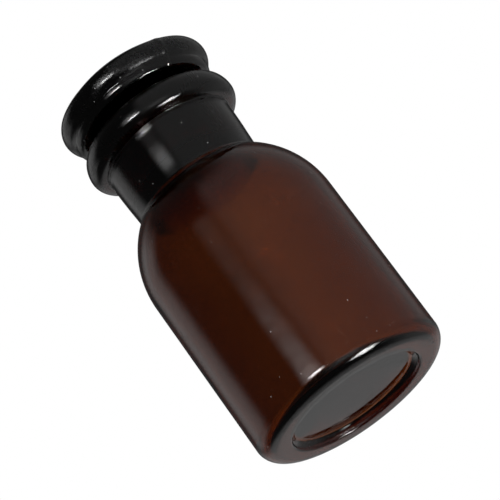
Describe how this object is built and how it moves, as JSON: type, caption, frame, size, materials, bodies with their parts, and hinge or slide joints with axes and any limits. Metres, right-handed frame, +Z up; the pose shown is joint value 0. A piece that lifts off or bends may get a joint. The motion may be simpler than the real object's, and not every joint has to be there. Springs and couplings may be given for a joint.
{
  "type": "reagent bottle",
  "caption": "Wide-mouth amber glass reagent bottle with a round shoulder, a heavy lip and a flat-headed ground glass stopper that lifts out.",
  "frame": {"origin": "centre of the foot ring, on the surface the bottle stands on", "axes": "+Z up along the bottle's axis; the shape is round, so +X and +Y are any two directions square to it"},
  "size_m": [0.056, 0.056, 0.1122],
  "materials": {
    "bottle_glass": "smooth, polished, dark amber, moulded",
    "stopper_glass": "smooth dark amber head, finely ground matt plug"
  },
  "bodies": {
    "bottle": {"bottle": "bottle_glass"},
    "stopper": {"stopper": "stopper_glass"}
  },
  "joints": [
    {"name": "stopper_lift", "type": "slide", "parent": "bottle", "child": "stopper", "axis": [0, 0, 1], "range_m": [0, 0.06]}
  ]
}
